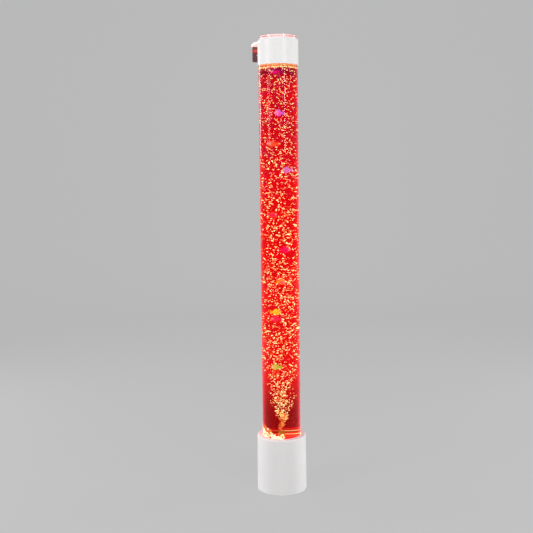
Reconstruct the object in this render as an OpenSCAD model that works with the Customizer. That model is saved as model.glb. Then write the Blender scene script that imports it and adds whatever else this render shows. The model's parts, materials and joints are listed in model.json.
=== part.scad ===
// Bubble tube floor lamp: a water-filled clear tube on a lit base with an air
// pump, ten moulded fish, a white top collar and a clear lid with a wall bracket.
// Millimetres. The origin is on the floor at the middle of the base, +Z is up
// and +Y points to the wall behind the lamp.

/* [Base] */
// Height of the base's top deck above the floor
base_h = 230; // [200:1:300]
// Diameter of the base at its lower rim
base_foot_d = 204.4; // [200:0.1:225]
// Diameter of the base under its rounded top edge
base_top_d = 200.6; // [198:0.1:222]
// Radius of the base's rounded top edge
base_edge_r = 6; // [4:0.5:9]
// Wall of the moulded base
base_wall = 3.5; // [2.5:0.1:4.5]
// Height that the rubber feet stand out below the base
foot_standout = 2; // [1:0.5:4]
// Diameter of each rubber foot
foot_d = 20; // [14:1:26]
// Distance from the base's rim to the outer feet
foot_inset = 12.2; // [8:0.1:20]
// Thickness of the bottom plate
plate_t = 4; // [3:0.5:6]

/* [Tube] */
// Outer diameter of the clear tube
tube_od = 156.5; // [140:0.1:160]
// Wall of the clear tube
tube_wall = 4; // [3:0.5:6]
// Length of tube seen between the base and the collar
tube_show = 1490; // [900:1:1700]
// Length of tube hidden in the collar
tube_in_collar = 62; // [40:1:80]
// Thickness of the clear disc that closes the tube's foot
floor_t = 12; // [8:1:20]
// Depth of that disc's upper face below the base's deck
floor_depth = 13; // [10:1:40]

/* [Collar] */
// Outer diameter of the white top collar
collar_od = 160.8; // [160.6:0.1:166]
// Height of the collar
collar_h = 101; // [90:1:130]
// Radius of the collar's rounded top edge
collar_edge_r = 7; // [3:0.5:10]
// Thickness of the collar's top web
collar_web = 4; // [3:0.5:6]
// Diameter of the filling throat in the collar's web
throat_d = 124; // [90:1:132]

/* [Lid and wall bracket] */
// Thickness of the clear lid plate
lid_t = 9; // [6:0.5:12]
// Radius of the lid plate's round front end
lid_nose_r = 74; // [68:0.5:79]
// Width of the neck between the nose and the head
neck_w = 80; // [50:1:100]
// Width of the lid plate's wide head behind the collar
head_w = 134; // [110:1:160]
// Distance from the tube's axis to the head's front edge
head_front = 105; // [95:1:120]
// Distance from the tube's axis to the wall
wall_gap = 185; // [165:1:220]
// Radius of the head's rounded front corners
head_corner_r = 30; // [10:1:40]
// Thickness of the wall flange
flange_t = 8; // [5:0.5:10]
// Height of the wall flange below the lid plate
flange_h = 62; // [45:1:80]
// Overhang of the lid plate past each side of the flange
flange_inset = 3.5; // [1:0.5:8]
// Distance between the two wall screw holes
wall_hole_gap = 90; // [60:1:100]
// Diameter of the wall screw holes
wall_hole_d = 5.2; // [4:0.1:6.5]
// Height of the ring that drops into the collar's throat
ring_h = 10; // [6:1:20]
// Wall of that ring
ring_wall = 4; // [3:0.5:6]

/* [Fish] */
// Length of a fish from nose to tail
fish_l = 36; // [26:1:36]
// Greatest thickness of a fish
fish_w = 10; // [7:0.5:10]
// Pitch of the upright lanes that the fish swim in
lane_pitch = 12; // [11.5:0.1:13]
// Drop from the collar's lower edge to the water's surface
water_gap = 6; // [0:1:60]

/* [Base fittings] */
// Radius of the circle of pillars under the tube's seat
pillar_circle_r = 76; // [74:0.5:79]
// Diameter of a pillar
pillar_d = 14; // [12:0.5:16]
// Width of the socket panel at the back
panel_w = 90; // [70:1:100]
// Height of the socket panel
panel_h = 60; // [50:1:80]
// Height of the panel's lower edge above the floor
panel_z = 18; // [14:1:40]
// Depth of the panel's flat face behind the base's wall at the panel's sides
panel_sink = 3; // [2:0.5:6]
// Diameter of a push button's cap
button_d = 10; // [8:0.5:12]
// Travel of a push button
button_travel = 1.5; // [0.5:0.1:2.5]
// Distance between the two push buttons
button_gap = 40; // [24:1:56]
// Bore of the low-voltage inlet
jack_bore_d = 5.9; // [5.6:0.1:6.4]
// Length of the air pump
pump_l = 78; // [60:1:90]
// Width of the air pump
pump_w = 46; // [36:1:52]
// Height of the air pump
pump_h = 46; // [36:1:60]
// Outer diameter of the air hose
hose_d = 6; // [5:0.5:8]
// Diameter of the round air stone
stone_d = 20; // [14:1:28]
// Height of the air stone
stone_h = 24; // [10:1:34]
// Number of lamps on the outer ring of the light board
led_count = 16; // [8:1:24]

/* [Hidden] */
$fn = 96;
CLEAR = 0.3;               // gap round a piece that drops into its seat
RUN = 0.05;                // radial gap round a shank in its bore
BIG = 400;                 // reach of a cutter past what it cuts

rim_z = foot_standout;
plate_top = rim_z + plate_t;
deck_t = base_wall;
tube_r = tube_od / 2;
bore_r = tube_r - tube_wall;
floor_top = base_h - floor_depth;
floor_z = floor_top - floor_t;
tube_z = floor_z;
collar_z = base_h + tube_show;
collar_top = collar_z + collar_h;
tube_top = collar_z + tube_in_collar;
lid_z = collar_top;
water_top = collar_z - water_gap;
water_h = water_top - floor_top;

seat_floor_t = 5;
seat_z = tube_z - seat_floor_t;
seat_wall = 4;
seat_bore_r = 60;
seat_r = tube_r + CLEAR + seat_wall;
seat_top = base_h - deck_t - 1;
pillar_h = seat_z - plate_top;
pillar_angles = [45, 135, 225, 315];

sink_t = 3;
sink_bore_r = 18;
sink_r = pillar_circle_r - pillar_d / 2 - 1;
board_t = 1.6;
led_board_r = seat_bore_r - 2;
led_side = 5;
led_t = 1.6;
led_inner_count = 8;
led_ring_r = led_board_r - 10;
led_inner_r = led_ring_r - 18;

boss_d = 9;
boss_web = 5.2;            // length of the rib between a boss and the wall
boss_circle_r = base_foot_d / 2 - base_wall - boss_web - boss_d / 2;
boss_h = 30;
boss_angles = [20, 160, 200, 340];
screw_shank_r = 1.7;
screw_head_r = 3.2;
screw_head_t = 2;
screw_l = 16;

foot_t = foot_standout + plate_t / 2;
foot_circle_r = base_foot_d / 2 - foot_inset - foot_d / 2;
foot_angles = [0, 90, 180, 270];

panel_t = 4;
panel_rim = 3;
panel_mid = panel_z + panel_h / 2;
panel_wall_r = min(base_r(panel_z), base_r(panel_z + panel_h));
panel_y = sqrt(pow(panel_wall_r, 2) - pow(panel_w / 2, 2)) - panel_sink;
lip_reach = 4;
lip_t = 3;
button_z = panel_mid + 10;
jack_z = panel_mid - 12;
button_proud = 2;
button_flange_r = button_d / 2 + 1.4;
button_flange_t = 1.2;
button_back = panel_y - panel_t - CLEAR - button_flange_t;
button_post_r = 2.2;
button_post_x = button_gap / 2 + button_flange_r + button_post_r + 2;
button_board_w = 2 * button_post_x + 8;
switch_side = 6;
switch_t = 3.5;
plunger_r = 1.75;
plunger_l = 1.2;
switch_gap = 0.1;
switch_y = button_back - button_travel - switch_gap - plunger_l - switch_t;
jack_thread_r = jack_bore_d / 2 + 1.3;
jack_nut_r = jack_thread_r + 2.4;
jack_nut_t = 2;
jack_body_l = 10;
jack_depth = 9;
jack_pin_r = 1.05;

pump_x = -6;
pump_y = -30;
pump_mount_h = 8;
pump_mount_r = 5;
pump_z = plate_top + pump_mount_h;
pump_top = pump_z + pump_h;
nipple_r = 2.4;
nipple_h = 7;
rib_step = 12;
rib_w = 3;
rib_proud = 1.5;
valve_z = 112;
valve_h = 30;
valve_r = 8;
valve_stub_h = 6;

ctrl_w = 76;
ctrl_d = 36;
ctrl_y = 48;
ctrl_z = plate_top + 8;
standoff_r = 3;
plug_w = 8;
plug_h = 9;
plug_x = ctrl_w / 2 - 7;
cap_places = [-21, 24];     // the two tall capacitors, across the board
cap_back = 9;
cap_r = 4;
cap_h = 12;

wire_r = 1.5;
wire_rings = 12;
wire_sides = 6;
wire_rise = 34;            // how far a wire stands up out of its plug

fit_r = 6;
fit_seal_t = 2;
fit_flange_r = 12;
fit_flange_t = 3;
fit_nut_t = 5;
fit_barb_z = floor_z - 20;
stone_z = floor_top + fit_seal_t + fit_flange_t;

vent_count = 9;
vent_step = 6;
vent_w = 3;
vent_h = 34;
vent_gap = 40;
vent_z = panel_z + panel_h + vent_gap;

wall_hole_z = lid_z - flange_h * 0.55;
ring_r = throat_d / 2 - 0.5;

// Each fish: place across the tube, lane number, height as a share of the
// water's depth, heading and kind. Two fish in one lane swim side by side.
FISH = [
    [ -10, -4, 0.8791,  1, 0],
    [  -8,  3, 0.8016, -1, 1],
    [  22, -2, 0.7315, -1, 2],
    [ -32, -2, 0.6139,  1, 1],
    [  20,  2, 0.5177,  1, 0],
    [  -4, -3, 0.4349, -1, 1],
    [ -17,  0, 0.3507,  1, 2],
    [ -11,  1, 0.3307, -1, 0],
    [ -18, -1, 0.2004,  1, 2],
    [   7,  4, 0.9913, -1, 1]
];

// ---------------------------------------------------------------- helpers

// A ring standing on z = 0.
module ring(outer_r, inner_r, h) {
    difference() {
        cylinder(r = outer_r, h = h);
        translate([0, 0, -1]) cylinder(r = inner_r, h = h + 2);
    }
}

// An upright block with round vertical edges, centred in plan, on z = 0.
module round_block(size, r) {
    linear_extrude(size[2]) round_rect(size[0], size[1], r);
}

// A rectangle with round corners, centred.
module round_rect(w, d, r) {
    square([w - 2 * r, d], center = true);
    square([w, d - 2 * r], center = true);
    for (x = [-1, 1], y = [-1, 1])
        translate([x * (w / 2 - r), y * (d / 2 - r)]) circle(r = r, $fn = 48);
}

// Radius of the base's outside at a height.
function base_r(z) = base_foot_d / 2
    - (base_foot_d - base_top_d) / 2 * (z - rim_z) / (base_h - base_edge_r - rim_z);

// Copies its children round the axis at a radius.
module polar(r, angles) {
    for (a = angles) rotate([0, 0, a]) translate([r, 0, 0]) children();
}

// Points of a quarter round, from straight out to straight up.
function quarter(cx, cy, r, n = 8) =
    [for (i = [0 : n]) [cx + r * cos(90 * i / n), cy + r * sin(90 * i / n)]];

// A point on a cubic curve through its end control points.
function curve(p, t) = pow(1 - t, 3) * p[0] + 3 * pow(1 - t, 2) * t * p[1]
    + 3 * (1 - t) * t * t * p[2] + pow(t, 3) * p[3];
function unit(v) = v / norm(v);

// A round cord of radius r along a cubic curve: one closed solid.
module cord(p, r, rings = 14, sides = 8) {
    step = 1 / rings;
    path = [for (i = [0 : rings]) curve(p, i * step)];
    side_ref = [0.31, 0.87, 0.12];
    pts = [for (i = [0 : rings])
        let (a = path[max(i - 1, 0)], b = path[min(i + 1, rings)],
             t = i == 0 ? unit(p[1] - p[0]) : i == rings ? unit(p[3] - p[2]) : unit(b - a),
             n = unit(cross(t, side_ref)), m = cross(t, n))
        for (k = [0 : sides - 1])
            path[i] + r * (cos(360 * k / sides) * n + sin(360 * k / sides) * m)];
    walls = [for (i = [0 : rings - 1], k = [0 : sides - 1])
        let (a = i * sides + k, b = i * sides + (k + 1) % sides)
        for (f = [[a, b, b + sides], [a, b + sides, a + sides]]) f];
    ends = [[for (k = [sides - 1 : -1 : 0]) k],
            [for (k = [0 : sides - 1]) rings * sides + k]];
    polyhedron([for (q = pts) q], concat([for (f = walls) [f[2], f[1], f[0]]],
        [for (e = ends) [for (k = [len(e) - 1 : -1 : 0]) e[k]]]));
}

// A self-tapping screw with its head down at z = 0, pointing up.
module screw(shank_r, head_r, head_t, l) {
    cylinder(r = head_r, h = head_t, $fn = 32);
    cylinder(r = shank_r, h = l - shank_r, $fn = 32);
    translate([0, 0, l - shank_r])
        cylinder(r1 = shank_r, r2 = shank_r * 0.3, h = shank_r, $fn = 32);
}

// ---------------------------------------------------------------- base

// The base's outside: drafted wall, rounded top edge and flat deck.
module base_outside() {
    rotate_extrude()
        polygon(concat([[0, rim_z], [base_foot_d / 2, rim_z]],
            quarter(base_top_d / 2 - base_edge_r, base_h - base_edge_r, base_edge_r),
            [[0, base_h]]));
}

// The hollow inside the base's wall and under its deck.
module base_inside() {
    inner_edge_r = base_edge_r - base_wall;
    rotate_extrude()
        polygon(concat([[0, rim_z - 1], [base_foot_d / 2 - base_wall, rim_z - 1]],
            quarter(base_top_d / 2 - base_wall - inner_edge_r,
                base_h - deck_t - inner_edge_r, inner_edge_r),
            [[0, base_h - deck_t]]));
}

module base_boss() {
    difference() {
        union() {
            cylinder(d = boss_d, h = boss_h, $fn = 48);
            translate([0, -1.5, 0])
                cube([base_foot_d / 2 - boss_circle_r - base_wall + 1, 3, boss_h]);
        }
        translate([0, 0, -1]) cylinder(r = screw_shank_r + RUN, h = boss_h - 3, $fn = 32);
    }
}

module base_shell() {
    color("whitesmoke") {
        difference() {
            base_outside();
            base_inside();
            translate([0, 0, base_h - deck_t - 1])
                cylinder(r = tube_r + CLEAR, h = deck_t + 2);
            translate([-panel_w / 2, 0, panel_z]) cube([panel_w, BIG, panel_h]);
            for (i = [0 : vent_count - 1])
                rotate([0, 0, (i - (vent_count - 1) / 2) * vent_step])
                    translate([-vent_w / 2, 0, vent_z]) cube([vent_w, BIG, vent_h]);
        }
        translate([0, 0, plate_top]) polar(boss_circle_r, boss_angles) base_boss();
    }
}

module base_plate() {
    edge_r = min(base_r(rim_z), base_r(plate_top)) - base_wall - CLEAR;
    color("gainsboro")
        difference() {
            union() {
                translate([0, 0, rim_z]) cylinder(r = edge_r, h = plate_t);
                for (x = [-1, 1], y = [-1, 1])
                    translate([x * (ctrl_w / 2 - 5), ctrl_y + y * (ctrl_d / 2 - 5), plate_top])
                        cylinder(r = standoff_r, h = ctrl_z - plate_top, $fn = 32);
            }
            translate([0, 0, rim_z - 1]) {
                polar(foot_circle_r, foot_angles) foot_socket();
                foot_socket();
                polar(boss_circle_r, boss_angles) screw_socket();
                polar(pillar_circle_r, pillar_angles) screw_socket();
                polar(50, [for (i = [0 : 7]) 22.5 + 45 * i])
                    translate([-8, -1.5, 0]) cube([16, 3, plate_t + 2]);
            }
        }
}

module foot_socket() {
    cylinder(d = foot_d + 2 * CLEAR, h = 1 + foot_t - foot_standout);
}

module screw_socket() {
    cylinder(r = screw_head_r + CLEAR, h = 1 + screw_head_t, $fn = 32);
    cylinder(r = screw_shank_r + CLEAR, h = plate_t + 2, $fn = 32);
}

module rubber_feet() {
    color("dimgray") {
        polar(foot_circle_r, foot_angles) cylinder(d = foot_d, h = foot_t);
        cylinder(d = foot_d, h = foot_t);
    }
}

module base_screws() {
    color("silver")
        translate([0, 0, rim_z]) polar(boss_circle_r, boss_angles)
            screw(screw_shank_r, screw_head_r, screw_head_t, screw_l);
}

module seat_screws() {
    color("silver")
        translate([0, 0, rim_z]) polar(pillar_circle_r, pillar_angles)
            screw(screw_shank_r, screw_head_r, screw_head_t, screw_l);
}

// The moulded seat that carries the tube and its water on four pillars.
module tube_seat() {
    color("lightgray")
        difference() {
            union() {
                translate([0, 0, seat_z]) ring(seat_r, seat_bore_r, seat_floor_t);
                translate([0, 0, tube_z])
                    ring(seat_r, tube_r + CLEAR / 2, seat_top - tube_z);
                translate([0, 0, plate_top]) polar(pillar_circle_r, pillar_angles)
                    cylinder(d = pillar_d, h = pillar_h + 1, $fn = 48);
            }
            translate([0, 0, plate_top - 1]) polar(pillar_circle_r, pillar_angles)
                cylinder(r = screw_shank_r + RUN, h = screw_l + 2, $fn = 32);
            translate([0, 0, seat_z - 1]) polar(sink_screw_r(), sink_screw_angles())
                cylinder(r = 1.2 + RUN, h = seat_floor_t, $fn = 32);
        }
}

function sink_screw_r() = (seat_bore_r + sink_r) / 2;
function sink_screw_angles() = [0, 90, 180, 270];

module heat_sink() {
    color("silver")
        translate([0, 0, seat_z - sink_t])
            difference() {
                ring(sink_r, sink_bore_r, sink_t);
                translate([0, 0, -1]) polar(sink_screw_r(), sink_screw_angles())
                    cylinder(r = 1.2 + CLEAR, h = sink_t + 2, $fn = 32);
            }
}

module heat_sink_screws() {
    color("silver")
        translate([0, 0, seat_z - sink_t - 1.4]) polar(sink_screw_r(), sink_screw_angles())
            screw(1.2, 2.4, 1.4, 1.4 + sink_t + seat_floor_t - 1.5);
}

module led_board() {
    color("darkgreen")
        translate([0, 0, seat_z]) ring(led_board_r, sink_bore_r + 2, board_t);
}

module led_chips() {
    color("white")
        translate([-led_side / 2, -led_side / 2, seat_z + board_t]) {
            for (i = [0 : led_count - 1]) led_chip(led_ring_r, i * 360 / led_count);
            for (i = [0 : led_inner_count - 1])
                led_chip(led_inner_r, (i + 0.5) * 360 / led_inner_count);
        }
}

module led_chip(r, a) {
    translate([r * cos(a), r * sin(a), 0]) cube([led_side, led_side, led_t]);
}

// ---------------------------------------------------------------- back panel

module socket_panel() {
    w = panel_w - 2 * CLEAR;
    h = panel_h - 2 * CLEAR;
    color("white")
        difference() {
            union() {
                intersection() {
                    base_outside();
                    translate([-w / 2, panel_y - panel_t, panel_mid - h / 2])
                        cube([w, BIG, h]);
                }
                translate([-w / 2 - lip_reach, panel_y - panel_t - lip_t,
                        panel_mid - h / 2 - lip_reach])
                    cube([w + 2 * lip_reach, lip_t, h + 2 * lip_reach]);
            }
            translate([-w / 2 + panel_rim, panel_y, panel_mid - h / 2 + panel_rim])
                cube([w - 2 * panel_rim, BIG, h - 2 * panel_rim]);
            translate([-w / 2 + panel_rim, panel_y - panel_t - lip_t - 1,
                    panel_mid - h / 2 + panel_rim])
                cube([w - 2 * panel_rim, lip_t + 1, h - 2 * panel_rim]);
            along_y([0, panel_y - panel_t - 1, jack_z])
                cylinder(r = jack_thread_r + CLEAR, h = panel_t + 2);
            for (s = [-1, 1])
                along_y([s * button_gap / 2, panel_y - panel_t - 1, button_z])
                    cylinder(d = button_d + 2 * CLEAR, h = panel_t + 2);
        }
    // posts that carry the button board
    color("white")
        for (s = [-1, 1])
            along_y([s * button_post_x, switch_y, button_z])
                cylinder(r = button_post_r, h = panel_y - panel_t - switch_y + 1, $fn = 32);
}

// Turns its children's +Z to +Y and moves them.
module along_y(p) {
    translate(p) rotate([-90, 0, 0]) children();
}

module dc_jack() {
    body = 2 * jack_thread_r + 2;
    front = panel_y + jack_nut_t + 0.5;
    color("dimgray")
        difference() {
            union() {
                translate([-body / 2, panel_y - panel_t - jack_body_l, jack_z - body / 2])
                    cube([body, jack_body_l, body]);
                along_y([0, panel_y - panel_t - 1, jack_z])
                    cylinder(r = jack_thread_r, h = front - panel_y + panel_t + 1);
            }
            along_y([0, front - jack_depth, jack_z])
                difference() {
                    cylinder(d = jack_bore_d, h = jack_depth + 1);
                    translate([0, 0, -1]) cylinder(r = jack_pin_r, h = jack_depth);
                }
        }
}

module jack_nut() {
    color("silver")
        along_y([0, panel_y, jack_z]) ring(jack_nut_r, jack_thread_r + RUN, jack_nut_t);
}

module push_button(x) {
    along_y([x, button_back, button_z]) {
        cylinder(r = button_flange_r, h = button_flange_t);
        cylinder(d = button_d, h = panel_y + button_proud - button_back);
    }
}

module power_button() {
    color("lightgray") push_button(-button_gap / 2);
}

module light_button() {
    color("lightgray") push_button(button_gap / 2);
}

module button_board() {
    color("darkgreen")
        difference() {
            translate([-button_board_w / 2, switch_y - board_t, button_z - 8])
                cube([button_board_w, board_t, 16]);
            for (s = [-1, 1])
                along_y([s * button_post_x, switch_y - board_t - 1, button_z])
                    cylinder(r = 1.2, h = board_t + 2, $fn = 32);
        }
}

module button_switches() {
    color("black")
        for (s = [-1, 1]) {
            translate([s * button_gap / 2 - switch_side / 2, switch_y, button_z - switch_side / 2])
                cube([switch_side, switch_t, switch_side]);
            along_y([s * button_gap / 2, switch_y + switch_t, button_z])
                cylinder(r = plunger_r, h = plunger_l, $fn = 32);
        }
}

// ---------------------------------------------------------------- electronics

module control_board() {
    color("darkgreen")
        translate([-ctrl_w / 2, ctrl_y - ctrl_d / 2, ctrl_z]) cube([ctrl_w, ctrl_d, board_t]);
}

module board_components() {
    z = ctrl_z + board_t;
    color("darkslategray") {
        translate([-12, ctrl_y - 6, z]) cube([14, 14, 2]);
        translate([8, ctrl_y - 10, z]) cube([10, 10, 6]);
        for (s = [-1, 1])
            translate([s * plug_x - plug_w / 2, ctrl_y - 12, z]) cube([plug_w, 22, plug_h]);
        for (x = cap_places)
            translate([x, ctrl_y + cap_back, z]) cylinder(r = cap_r, h = cap_h, $fn = 48);
    }
}

module pump_mounts() {
    color("dimgray")
        for (x = [-1, 1], y = [-1, 1])
            translate([pump_x + x * (pump_l / 2 - 9), pump_y + y * (pump_w / 2 - 9), plate_top])
                cylinder(r = pump_mount_r, h = pump_mount_h, $fn = 48);
}

module pump_body() {
    color("slategray")
        translate([pump_x, pump_y, pump_z]) {
            round_block([pump_l, pump_w, pump_h / 2], 7);
            translate([0, 0, pump_h / 2 - 4]) round_block([pump_l + 4, pump_w + 4, 4], 9);
        }
}

module pump_cover() {
    color("lightslategray")
        translate([pump_x, pump_y, pump_z + pump_h / 2]) {
            round_block([pump_l + 4, pump_w + 4, 4], 9);
            round_block([pump_l - 2, pump_w - 2, pump_h / 2], 7);
            cylinder(r = nipple_r, h = pump_h / 2 + nipple_h, $fn = 32);
            for (i = [-2, -1, 1, 2])
                translate([i * rib_step - rib_w / 2, -pump_w / 2 + 6, 0])
                    cube([rib_w, pump_w - 12, pump_h / 2 + rib_proud]);
        }
}

module air_hose_lower() {
    start = [pump_x, pump_y, pump_top + nipple_h];
    end = [0, 0, valve_z];
    rise = (valve_z - start[2]) * 0.6;
    color("white", 0.6)
        cord([start, start + [0, 0, rise], end - [0, 0, rise], end], hose_d / 2);
}

module check_valve() {
    color("white")
        translate([0, 0, valve_z]) {
            cylinder(r = nipple_r, h = valve_h, $fn = 32);
            translate([0, 0, valve_stub_h]) {
                cylinder(r1 = valve_r - 3, r2 = valve_r, h = 4, $fn = 48);
                translate([0, 0, 4]) cylinder(r = valve_r, h = valve_h - 2 * valve_stub_h - 8, $fn = 48);
                translate([0, 0, valve_h - 2 * valve_stub_h - 4])
                    cylinder(r1 = valve_r, r2 = valve_r - 3, h = 4, $fn = 48);
            }
        }
}

module air_hose_upper() {
    color("white", 0.6)
        translate([0, 0, valve_z + valve_h])
            cylinder(d = hose_d, h = fit_barb_z - valve_z - valve_h, $fn = 48);
}

module wire(p) {
    cord(p, wire_r, wire_rings, wire_sides);
}

module wiring() {
    plug_top = ctrl_z + board_t + plug_h;
    up = [0, 0, wire_rise];
    jack_back = [0, panel_y - panel_t - jack_body_l, jack_z];
    to_inlet = [plug_x, ctrl_y - 8, plug_top];
    to_lights = [-plug_x, ctrl_y - 2, plug_top];
    light_end = [-plug_x - 6, 20, seat_z - sink_t];
    to_pump = [-plug_x, ctrl_y - 8, plug_top];
    pump_end = [-plug_x + 8, pump_y + pump_w / 2 - 1, pump_z + pump_h * 0.75];
    color("firebrick") {
        wire([jack_back, jack_back - [0, 14, 0], to_inlet + up / 2, to_inlet]);
        wire([to_lights, to_lights + 1.5 * up, light_end - 1.5 * up, light_end]);
        wire([to_pump, to_pump + up, pump_end + [0, 20, 0], pump_end]);
    }
}

// ---------------------------------------------------------------- bubbler

module bubbler_fitting() {
    color("gold") {
        translate([0, 0, fit_barb_z]) cylinder(r = nipple_r, h = 12, $fn = 32);
        translate([0, 0, fit_barb_z + 10])
            cylinder(r = fit_r, h = stone_z - fit_barb_z - 10, $fn = 48);
        translate([0, 0, floor_top + fit_seal_t])
            cylinder(r = fit_flange_r, h = fit_flange_t, $fn = 64);
    }
}

module fitting_nut() {
    color("gold")
        translate([0, 0, floor_z - fit_nut_t])
            difference() {
                cylinder(r = fit_flange_r - 1, h = fit_nut_t, $fn = 6);
                translate([0, 0, -1]) cylinder(r = fit_r + RUN, h = fit_nut_t + 2, $fn = 48);
            }
}

module fitting_seal() {
    color("dimgray")
        translate([0, 0, floor_top]) ring(fit_flange_r - 1, fit_r + RUN, fit_seal_t);
}

module air_stone() {
    edge = 2.5;
    color("darkkhaki")
        translate([0, 0, stone_z])
            rotate_extrude($fn = 64)
                polygon(concat([[0, 0], [stone_d / 2, 0]],
                    quarter(stone_d / 2 - edge, stone_h - edge, edge, 5), [[0, stone_h]]));
}

// ---------------------------------------------------------------- tube

module tube_floor() {
    color("white", 0.5)
        translate([0, 0, floor_z]) ring(bore_r - CLEAR / 2, fit_r + RUN, floor_t);
}

module tube() {
    color("mistyrose", 0.4)
        translate([0, 0, tube_z]) ring(tube_r, bore_r, tube_top - tube_z);
}

// The collar slips over the tube; an inner ledge rests on the tube's end.
module top_collar() {
    skirt_r = tube_r + CLEAR;
    ledge_t = 4;
    outer = collar_od / 2;
    color("white")
        rotate_extrude()
            polygon(concat(
                [[skirt_r, collar_z], [outer, collar_z]],
                quarter(outer - collar_edge_r, collar_top - collar_edge_r, collar_edge_r),
                [[throat_d / 2, collar_top], [throat_d / 2, collar_top - collar_web - 8],
                 [throat_d / 2 + 3, collar_top - collar_web - 8],
                 [throat_d / 2 + 3, collar_top - collar_web],
                 [skirt_r - 5, collar_top - collar_web],
                 [skirt_r - 1, collar_top - collar_web - 5],
                 [skirt_r - 1, tube_top + ledge_t], [bore_r, tube_top + ledge_t],
                 [bore_r, tube_top], [skirt_r, tube_top]]));
}

// ---------------------------------------------------------------- lid

module lid_outline() {
    circle(r = lid_nose_r);
    translate([-neck_w / 2, 0]) square([neck_w, head_front + head_corner_r]);
    difference() {
        translate([-head_w / 2, head_front]) square([head_w, wall_gap - head_front]);
        for (s = [-1, 1]) translate([s * head_w / 2, head_front])
            square(2 * head_corner_r, center = true);
    }
    for (s = [-1, 1])
        translate([s * (head_w / 2 - head_corner_r), head_front + head_corner_r])
            circle(r = head_corner_r);
}

module lid_plate() {
    color("lavender", 0.5) translate([0, 0, lid_z]) linear_extrude(lid_t) lid_outline();
}

module locating_ring() {
    color("lavender", 0.5)
        translate([0, 0, lid_z - ring_h]) ring(ring_r, ring_r - ring_wall, ring_h);
}

module wall_flange() {
    w = head_w - 2 * flange_inset;
    corner_r = 6;
    color("lavender", 0.5)
        difference() {
            translate([0, wall_gap, lid_z]) rotate([90, 0, 0])
                linear_extrude(flange_t) {
                    translate([-w / 2, -flange_h + corner_r])
                        square([w, flange_h - corner_r]);
                    translate([-w / 2 + corner_r, -flange_h])
                        square([w - 2 * corner_r, flange_h]);
                    for (s = [-1, 1])
                        translate([s * (w / 2 - corner_r), -flange_h + corner_r])
                            circle(r = corner_r);
                }
            for (s = [-1, 1])
                along_y([s * wall_hole_gap / 2, wall_gap - flange_t - 1, wall_hole_z])
                    cylinder(d = wall_hole_d, h = flange_t + 2);
        }
}

// ---------------------------------------------------------------- fish

// Half height and half thickness of the body, and reach of the fins above and
// below, as shares of the length, from the nose at 0 to the tail's end at 1.
BODY_HALF_H = [
    [[0, 0.03], [0.05, 0.1], [0.15, 0.19], [0.3, 0.26], [0.45, 0.25], [0.6, 0.15],
     [0.72, 0.06], [0.85, 0.03], [1, 0.02]],
    [[0, 0.04], [0.05, 0.1], [0.15, 0.17], [0.3, 0.22], [0.5, 0.21], [0.65, 0.13],
     [0.75, 0.07], [0.85, 0.03], [1, 0.02]],
    [[0, 0.05], [0.05, 0.14], [0.15, 0.23], [0.3, 0.29], [0.45, 0.28], [0.6, 0.17],
     [0.72, 0.07], [0.85, 0.03], [1, 0.02]]
];
FIN_TOP = [
    [[0, 0], [0.15, 0.19], [0.3, 0.34], [0.48, 0.46], [0.6, 0.36], [0.7, 0.1],
     [0.78, 0.1], [0.92, 0.26], [1, 0.32]],
    [[0, 0], [0.15, 0.17], [0.3, 0.3], [0.45, 0.33], [0.62, 0.27], [0.72, 0.08],
     [0.8, 0.14], [0.92, 0.23], [1, 0.2]],
    [[0, 0], [0.15, 0.22], [0.3, 0.34], [0.45, 0.4], [0.6, 0.3], [0.7, 0.1],
     [0.78, 0.1], [0.9, 0.22], [1, 0.24]]
];
FIN_LOW = [
    [[0, 0], [0.2, 0.2], [0.35, 0.28], [0.5, 0.42], [0.62, 0.34], [0.7, 0.1],
     [0.78, 0.1], [0.92, 0.24], [1, 0.3]],
    [[0, 0], [0.2, 0.18], [0.35, 0.29], [0.45, 0.24], [0.62, 0.28], [0.72, 0.08],
     [0.8, 0.14], [0.92, 0.23], [1, 0.2]],
    [[0, 0], [0.2, 0.22], [0.35, 0.36], [0.45, 0.3], [0.6, 0.28], [0.7, 0.1],
     [0.78, 0.1], [0.9, 0.2], [1, 0.22]]
];
STATIONS = [0, 0.05, 0.12, 0.2, 0.3, 0.4, 0.5, 0.6, 0.68, 0.76, 0.84, 0.92, 1];
FIN_HALF_T = 0.8;
FISH_STEPS = 9;

// Half thickness of a fish at a height z above its middle.
function fish_half_t(z, half_h) =
    let (body = fish_w / 2 * min(1, half_h / (0.2 * fish_l)),
         share = min(1, abs(z) / half_h))
    max(FIN_HALF_T, body * sqrt(1 - share * share));

// One fish, nose towards -X, as a single closed solid.
module fish(kind) {
    rows = len(STATIONS);
    count = 2 * FISH_STEPS;
    pts = [for (u = STATIONS)
        let (half_h = fish_l * lookup(u, BODY_HALF_H[kind]),
             top = max(half_h, fish_l * lookup(u, FIN_TOP[kind])),
             low = max(half_h, fish_l * lookup(u, FIN_LOW[kind])),
             levels = [for (i = [0 : FISH_STEPS - 1])
                 let (s = -cos(180 * i / (FISH_STEPS - 1))) s < 0 ? s * low : s * top])
        for (k = [0 : count - 1])
            let (i = k < FISH_STEPS ? k : count - 1 - k, side = k < FISH_STEPS ? 1 : -1)
            [(u - 0.5) * fish_l, side * fish_half_t(levels[i], half_h), levels[i]]];
    walls = [for (i = [0 : rows - 2], k = [0 : count - 1])
        let (a = i * count + k, b = i * count + (k + 1) % count)
        for (f = [[a, b, b + count], [a, b + count, a + count]]) f];
    caps = [for (i = [0 : FISH_STEPS - 2])
        let (m = count - 1 - i)
        for (f = [[i, i + 1, m], [i + 1, m - 1, m]]) f];
    last = (rows - 1) * count;
    polyhedron(pts, concat(walls,
        [for (f = caps) [f[2], f[1], f[0]]],
        [for (f = caps) [f[0] + last, f[1] + last, f[2] + last]]));
}

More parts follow.
